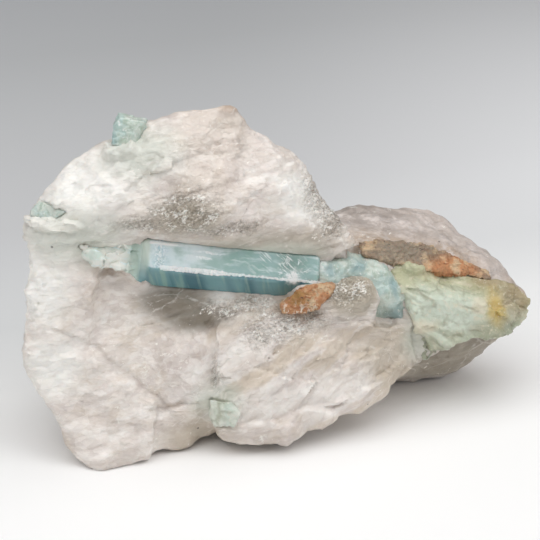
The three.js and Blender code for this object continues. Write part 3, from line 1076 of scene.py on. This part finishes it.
@dataclass(frozen=True)
class WeatheredBeryl(MineralFinish):
    """Massive beryl, weathered: pale green and waxy, stained yellow and brown along its cracks.

    Creamy grains and dark crevices break up the green, so it reads as an altered mass and not as a crystal.
    """

    name: str = "green_beryl_weathered"
    pale: str = "#CCCFB8"
    moss: str = "#B5B48D"
    aqua: str = "#D3DDD0"
    # Grey-green of the streaks, and of the painted shade on the lower parts.
    dull: str = "#95977F"
    yellow: str = "#C9AE66"
    brown: str = "#A08A66"
    cream: str = "#DDD5BE"
    crevice: str = "#7F7A5C"

    def draw(self, finish: Finish, sheet: NodeSheet) -> None:
        """Draws the surface's colour, fine relief and shine. See MineralFinish.draw."""
        place = sheet.warped(finish.place, 6.0, 2.0)
        cloud = sheet.noise(place, 6.0, 5.0)
        flow = sheet.noise(sheet.stretched(place, (0, -18, 0), (0.35, 1.0, 1.0)), 3.0, 5.0)
        top = sheet.spots(place, [((33, 1, 38), (10, 10, 4)), ((48, 3, 33), (12, 8, 4))], 0.5)
        centre = sheet.spot(place, (41, -3, 28), (10, 8, 6), 0.4)
        # Painted shade: the mass's lower parts are painted duller and greyer.
        low = sheet.spots(place, [((56, 0, 19), (10, 9, 5)), ((38, -4, 17), (5, 6, 4))], 0.5)
        yellow = sheet.spot(place, (56, 2, 27), (3, 4, 5), 0.6)
        tip = [((62, 8, 29), (6, 8, 6)), ((55, 6, 33), (6, 4, 3)), ((46, 3, 36.5), (9, 5, 1.2))]
        brown = sheet.spots(place, tip, 0.6)
        cream = sheet.spots(place, [((35, -6, 25), (6, 4, 1.8)), ((51, 0, 28), (2.5, 3, 1.5))], 0.5)
        grain = sheet.noise(finish.place, 1.2, 6.0, 0.65)
        fine = sheet.band(grain, 0.56, 0.64)
        crooked = sheet.warped(sheet.stretched(finish.place, (0, -14, 0), (0.5, 1.0, 1.0)), 4.0, 1.6)
        broad = sheet.band(sheet.noise(place, 5.0, 3.0), 0.46, 0.6)
        crevice = sheet.both(sheet.cracks(crooked, 6.5, 0.5), broad)
        colour = sheet.lay(
            self.pale,
            (sheet.band(cloud, 0.42, 0.6), self.aqua, 0.5),
            (top, self.moss, 0.8),
            (centre, self.aqua, 0.7),
            (low, self.dull, 0.7),
            (sheet.band(flow, 0.5, 0.34), self.dull, 0.5),
            (sheet.band(flow, 0.55, 0.7), self.cream, 0.6),
            (brown, self.brown, 0.8),
            (yellow, self.yellow, 0.9),
            (cream, self.cream, 0.8),
            (fine, self.cream, 0.55),
            (crevice, self.crevice, 0.4),
        )
        splinters = sheet.shards(sheet.warped(finish.place, 2.0, 0.6), 1.3, 0.12)
        finish.roughen(sheet.total((grain, 0.2), (splinters, 1.0)))
        finish.set(
            Base_Color=colour,
            Roughness=0.5,
            IOR=1.57,
            Subsurface_Weight=0.4,
            Subsurface_Scale=3 * MM,
            Subsurface_Radius=(0.8, 1.0, 0.85),
            Coat_Weight=0.1,
            Coat_Roughness=0.3,
        )


@dataclass(frozen=True)
class RustFeldspar(MineralFinish):
    """Feldspar stained by iron: earthy orange and brown, with dark specks and paler cleavage steps.

    It hardly shines, so it reads as an earthy crust between glassy minerals.
    """

    name: str = "rust_feldspar_earthy"
    orange: str = "#C4895C"
    pale: str = "#D2B693"
    brown: str = "#97806A"
    grey: str = "#928676"
    rust: str = "#A77048"
    dark: str = "#54463B"
    flake: str = "#F1E6D6"
    ochre: str = "#A37A45"

    def draw(self, finish: Finish, sheet: NodeSheet) -> None:
        """Draws the surface's colour, fine relief and shine. See MineralFinish.draw."""
        place = sheet.warped(finish.place, 3.0, 1.0)
        bedded = sheet.stretched(place, (0, -10, 0), (0.3, 1.0, 1.0))
        cloud = sheet.noise(place, 4.0, 5.0)
        layer = sheet.noise(bedded, 1.6, 5.0)
        speck = sheet.noise(bedded, 0.9, 3.0)
        orange = sheet.spots(place, [((45, 6, 36), (11, 7, 3.2)), ((6, -16, 36), (9, 8, 6))], 0.4)
        grey = sheet.spot(place, (29, 4, 42), (9, 6, 2.5), 0.4)
        grain = sheet.noise(finish.place, 0.9, 4.0, 0.65)
        flaky = sheet.both(sheet.spot(place, (3, -16, 33.6), (9, 8, 2.9), 0.6), 0.85)
        ochre = sheet.spot(place, (2.5, -14, 38.5), (3.5, 8, 3), 0.6)
        colour = sheet.lay(
            self.brown,
            (sheet.band(cloud, 0.45, 0.6), self.pale),
            (sheet.band(layer, 0.5, 0.36), self.grey, 0.7),
            (orange, self.orange, 0.85),
            (sheet.both(orange, sheet.band(cloud, 0.52, 0.64)), self.pale),
            (sheet.both(orange, sheet.band(layer, 0.46, 0.36)), self.rust),
            (grey, self.grey, 0.8),
            (sheet.both(ochre, sheet.band(layer, 0.42, 0.56)), self.ochre),
            (sheet.band(speck, 0.64, 0.7), self.dark, 0.8),
            (sheet.both(sheet.band(grain, 0.51, 0.6), flaky), self.flake),
        )
        splinters = sheet.shards(sheet.warped(finish.place, 1.5, 0.4), 1.1, 0.22)
        finish.roughen(sheet.total((layer, 0.3), (splinters, 1.0)))
        finish.set(Base_Color=colour, Roughness=0.65, IOR=1.53, Subsurface_Weight=0.1, Subsurface_Scale=MM)


@dataclass
class Mineral:
    """Pieces of one mineral that share a surface and a finish."""

    relief: Relief
    slot: str
    nodes: dict[str, str]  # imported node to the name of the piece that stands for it

    def shape(self, node: str, name: str) -> bpy.types.Object:
        """Returns a piece before it gets its surface."""
        return copy_of_solid(node, name)

    def bed(self, node: str) -> bpy.types.Object | None:
        """Returns what lies in a piece, or None. It is removed when the piece is finished."""
        return None

    def build(self, material: bpy.types.Material) -> None:
        """Models every piece and dresses it.

        Args:
            material: The finish.
        """
        for node, name in self.nodes.items():
            piece, bed = self.shape(node, name), self.bed(node)
            self.relief.carve(piece, bed)
            if bed:
                bpy.data.objects.remove(bed)
            piece.data.materials.append(material)
            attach(piece, BODY)
            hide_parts(node)
            log.info("%s: %d faces", name, len(piece.data.polygons))


@dataclass
class GrownCrystal(Mineral):
    """The six-sided crystal, which runs on into the thin plate at its left end without a crack."""

    crack: float = 1.6  # half the width of the cracks that the crystal closes

    def shape(self, node: str, name: str) -> bpy.types.Object:
        """Returns the crystal with its plate grown on."""
        crystal = copy_of_solid(node, name)
        heal(crystal, self.crack, 0.3)
        return crystal


@dataclass
class QuartzBlock(Mineral):
    """The milky quartz that everything else grew in. It is sound inside, and meets its neighbours closely."""

    cleft: float = 1.8  # half the width of the clefts that the quartz fills
    crack: float = 1.1  # half the width of the cracks beside its neighbours that it fills

    def shape(self, node: str, name: str) -> bpy.types.Object:
        """Returns the block, with every neighbour bedded in it.

        Args:
            node: The quartz's node.
            name: The piece's name.

        Returns:
            The piece.
        """
        block = copy_of_solid(node, name)
        heal(block, self.cleft, 0.7)
        neighbours = self.bed(node)
        activate(block)
        neighbours.select_set(True)
        bpy.ops.object.join()
        heal(block, self.crack, self.relief.voxel)
        return block

    def bed(self, node: str) -> bpy.types.Object:
        """Returns every other solid, as one object."""
        others = [copy_of_solid(other, f"{other}_copy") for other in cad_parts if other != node]
        activate(others[0])
        for other in others[1:]:
            other.select_set(True)
        bpy.ops.object.join()
        return others[0]


@dataclass
class Studio:
    """A pale floor, soft light and the camera."""

    target: Place = (-4.0, -5.0, 40.5)
    distance: float = 386.0
    elevation: float = 22.0
    lens: float = 100.0
    floor_side: float = 6000.0
    tone_start: float = -200.0  # how far behind the specimen the floor's first tone lies
    tone_end: float = 800.0
    # The tones are painted light: a pool of light before the specimen that falls off to grey behind it.
    tones: tuple[tuple[float, str], ...] = (  # share of the way to the tone's end, and the tone
        (0.1, "#FBFAF9"),
        (0.19, "#F8F7F6"),
        (0.24, "#F3F3F2"),
        (0.29, "#D9DADA"),
        (0.38, "#D0D0D1"),
        (0.65, "#D6D7D8"),
        (0.8, "#E4E5E7"),
    )
    lit: str = "#F6F6F7"  # painted light: the floor at the right, lighter where the light reaches

    def floor(self) -> None:
        """Makes the floor, painted with light that is bright before the specimen and falls off to grey behind
        it.
        """
        deselect_all()
        bpy.ops.mesh.primitive_plane_add(size=self.floor_side * MM)
        floor = bpy.context.active_object
        floor.name = "floor"
        finish = Finish("studio_floor_paper")
        sheet = finish.sheet
        back, right = (sheet.dot(finish.place, way) for way in ((-0.5, 1, 0), (1, 0, 0)))
        share = sheet.add("ShaderNodeMapRange", {0: back, 1: self.tone_start, 2: self.tone_end})
        ramp = sheet.add("ShaderNodeValToRGB", {0: share})
        stops = ramp.node.color_ramp.elements
        stops[0].position, stops[1].position = self.tones[0][0], self.tones[-1][0]
        for position, _ in self.tones[1:-1]:
            stops.new(position)
        for stop, (_, code) in zip(stops, self.tones):
            stop.color = linear(code)
        lit = sheet.both(sheet.band(right, -60.0, 180.0), sheet.band(back, -20.0, 160.0))
        finish.set(Base_Color=sheet.lay(ramp, (lit, self.lit)), Roughness=0.7)
        floor.data.materials.append(finish.material)

    def softbox(self, name: str, place: Place, size: tuple[float, float], power: float) -> None:
        """Hangs a soft light that faces the specimen.

        Args:
            name: The light's name.
            place: Where it hangs, in millimetres.
            size: Its width and height, in millimetres.
            power: Its power in watts.
        """
        data = bpy.data.lights.new(name, "AREA")
        data.shape = "RECTANGLE"
        data.size, data.size_y = (side * MM for side in size)
        data.energy = power
        lamp = bpy.data.objects.new(name, data)
        bpy.context.scene.collection.objects.link(lamp)
        lamp.location = Vector(place) * MM
        aim = Vector(self.target) * MM - lamp.location
        lamp.rotation_euler = aim.to_track_quat("-Z", "Y").to_euler()

    def light(self) -> None:
        """Lights the studio from above, with a weak fill in front and a pale room around."""
        self.softbox("top_softbox", (20, -60, 620), (900, 800), 3.9)
        self.softbox("left_softbox", (-430, -260, 420), (480, 420), 0.8)
        self.softbox("right_softbox", (520, -160, 400), (480, 420), 0.93)
        self.softbox("front_fill", (-60, -900, 450), (700, 500), 0.55)
        world = bpy.data.worlds.new("pale_room")
        world.use_nodes = True
        back = world.node_tree.nodes["Background"]
        back.inputs["Color"].default_value = linear("#E4E7EA")
        back.inputs["Strength"].default_value = 0.185
        bpy.context.scene.world = world

    def camera(self) -> None:
        """Sets the camera at the front, looking down a little."""
        data = bpy.data.cameras.new("camera")
        data.lens = self.lens
        data.clip_start, data.clip_end = 0.01, 50.0
        camera = bpy.data.objects.new("camera", data)
        bpy.context.scene.collection.objects.link(camera)
        lift = math.radians(self.elevation)
        back = Vector((0, -math.cos(lift), math.sin(lift))) * self.distance
        camera.location = (Vector(self.target) + back) * MM
        camera.rotation_euler = (math.radians(90) - lift, 0, 0)
        bpy.context.scene.camera = camera

    def build(self) -> None:
        """Builds the studio."""
        self.floor()
        self.light()
        self.camera()
        bpy.context.scene.view_settings.view_transform = "Standard"


def main() -> None:
    """Builds the studio and every mineral in order."""
    logging.basicConfig(level=logging.INFO, format="%(message)s")
    Studio().build()
    hollows = (
        Dent((26, -6.5, 28.5), (4, 4, 3.2), 1.8),  # beside the broken end
        Dent((17.0, -5.5, 43.5), (4.6, 7, 3.0), 1.8),  # over the broken end
        Dent((33.5, 0, 20), (3, 6, 5), -1.2),  # between the front block and the beryl
        Dent((-57, -17, 57.8), (8, 6, 1.6), -1.7),  # ledge under the blade
        Dent((-7, -28, 4), (13, 6, 5), -1.2),  # foot of the front block
        Dent((6, -25.5, 6), (9, 6, 5), -1.6),
        Dent((-40, -8.5, 73.4), (6, 4, 2.0), -1.7),  # under the stub
    )
    block = BlockRelief(0.5, 1, ((3.4, 0.22), (1.5, 0.06)), (2.0, 0.04), 1.2, grow=0.0, dents=hollows)
    quartz = {"quartz_matrix": "milky_quartz_block"}
    QuartzBlock(block, "milky_quartz", quartz).build(MilkyQuartz().material())
    plate = (Dent((-42.2, -15, 43.2), (4.6, 9, 2.6), 2.6), Dent((-48.2, -18, 48.6), (3.6, 5, 2.6), -1.4))
    faces = PrismRelief(0.25, 1, ((3.0, 0.03),), (0.8, 0.02), 0.8, 0.2, follows=False, dents=plate)
    crystal = {"aquamarine_prism": "aquamarine_crystal"}
    GrownCrystal(faces, "aquamarine", crystal).build(CrystalAquamarine().material())
    cloudy = CloudyAquamarine().material()
    rusty = RustFeldspar().material()
    joint = (Dent((7.3, -6, 40), (1.8, 9, 8), -0.5),)
    snapped = Relief(0.35, 0, ((2.6, 0.25), (1.2, 0.1)), (0.9, 0.05), grow=0.4, dents=joint)
    Mineral(snapped, "aquamarine", {"aquamarine_far_end": "aquamarine_broken_end"}).build(cloudy)
    chunky = Relief(0.3, 0, ((3.0, 0.15),), (0.8, 0.03), 0.6, 0.0, follows=False, planes=((2.4, 0.12),))
    Mineral(chunky, "aquamarine", {"beryl_stub": "beryl_stub_top"}).build(cloudy)
    flat = Relief(0.25, 0, ((2.4, 0.06),), (0.8, 0.02), 0.6, 0.15, follows=False)
    Mineral(flat, "aquamarine", {"beryl_sliver": "beryl_blade"}).build(cloudy)
    droops = (Dent((44, 5, 35.5), (6, 5, 1.8), -1.2), Dent((30, 3, 38), (3, 5, 1.5), 1.0))
    wedge = (
        Dent((35, 1, 38.5), (4.5, 5, 2), -1.2),
        Dent((37.5, -3, 13.5), (8, 12, 4.4), 2.6),
        Dent((42, -5, 15.0), (5, 8, 2.8), 2.0),
        Dent((33.8, -5, 18.0), (3.6, 6, 4.6), 2.6),
    )
    flow = ((0, -18, 0), (0.5, 0.8, 1.0))
    flat_breaks = ((6.0, 0.14),)
    shards = ((4.2, 0.4), (1.6, 0.08))
    crumbly = Relief(0.4, 0, shards, (1.0, 0.05), 1.2, 0.45, planes=flat_breaks, lie=flow, dents=wedge)
    weathered = WeatheredBeryl().material()
    Mineral(crumbly, "green_beryl", {"green_beryl_mass": "green_beryl_mass_weathered"}).build(weathered)
    low = Relief(0.3, 1, ((2.4, 0.12),), (0.8, 0.05), 0.6, 0.3)
    milky = WeatheredBeryl("green_beryl_milky", "#D6DACE", aqua="#C3D5CC", dull="#B4BDAC", cream="#E6E2D6")
    Mineral(low, "green_beryl", {"beryl_chip": "beryl_chip_low"}).build(milky.material())
    layers, leaves = ((2.6, 0.3), (1.2, 0.2)), ((3.0, 0.12),)
    layered = Relief(0.35, 0, layers, (0.8, 0.1), 1.0, -0.05, planes=leaves, dents=droops)
    Mineral(layered, "rust_feldspar", {"feldspar_seam": "feldspar_seam_rusty"}).build(rusty)
    earthy = Relief(0.3, 0, ((2.0, 0.3), (0.9, 0.15)), (0.7, 0.05), 0.8, 0.3, planes=((3.5, 0.12),))
    Mineral(earthy, "rust_feldspar", {"feldspar_patch": "feldspar_patch_rusty"}).build(rusty)


if __name__ == "__main__":
    main()
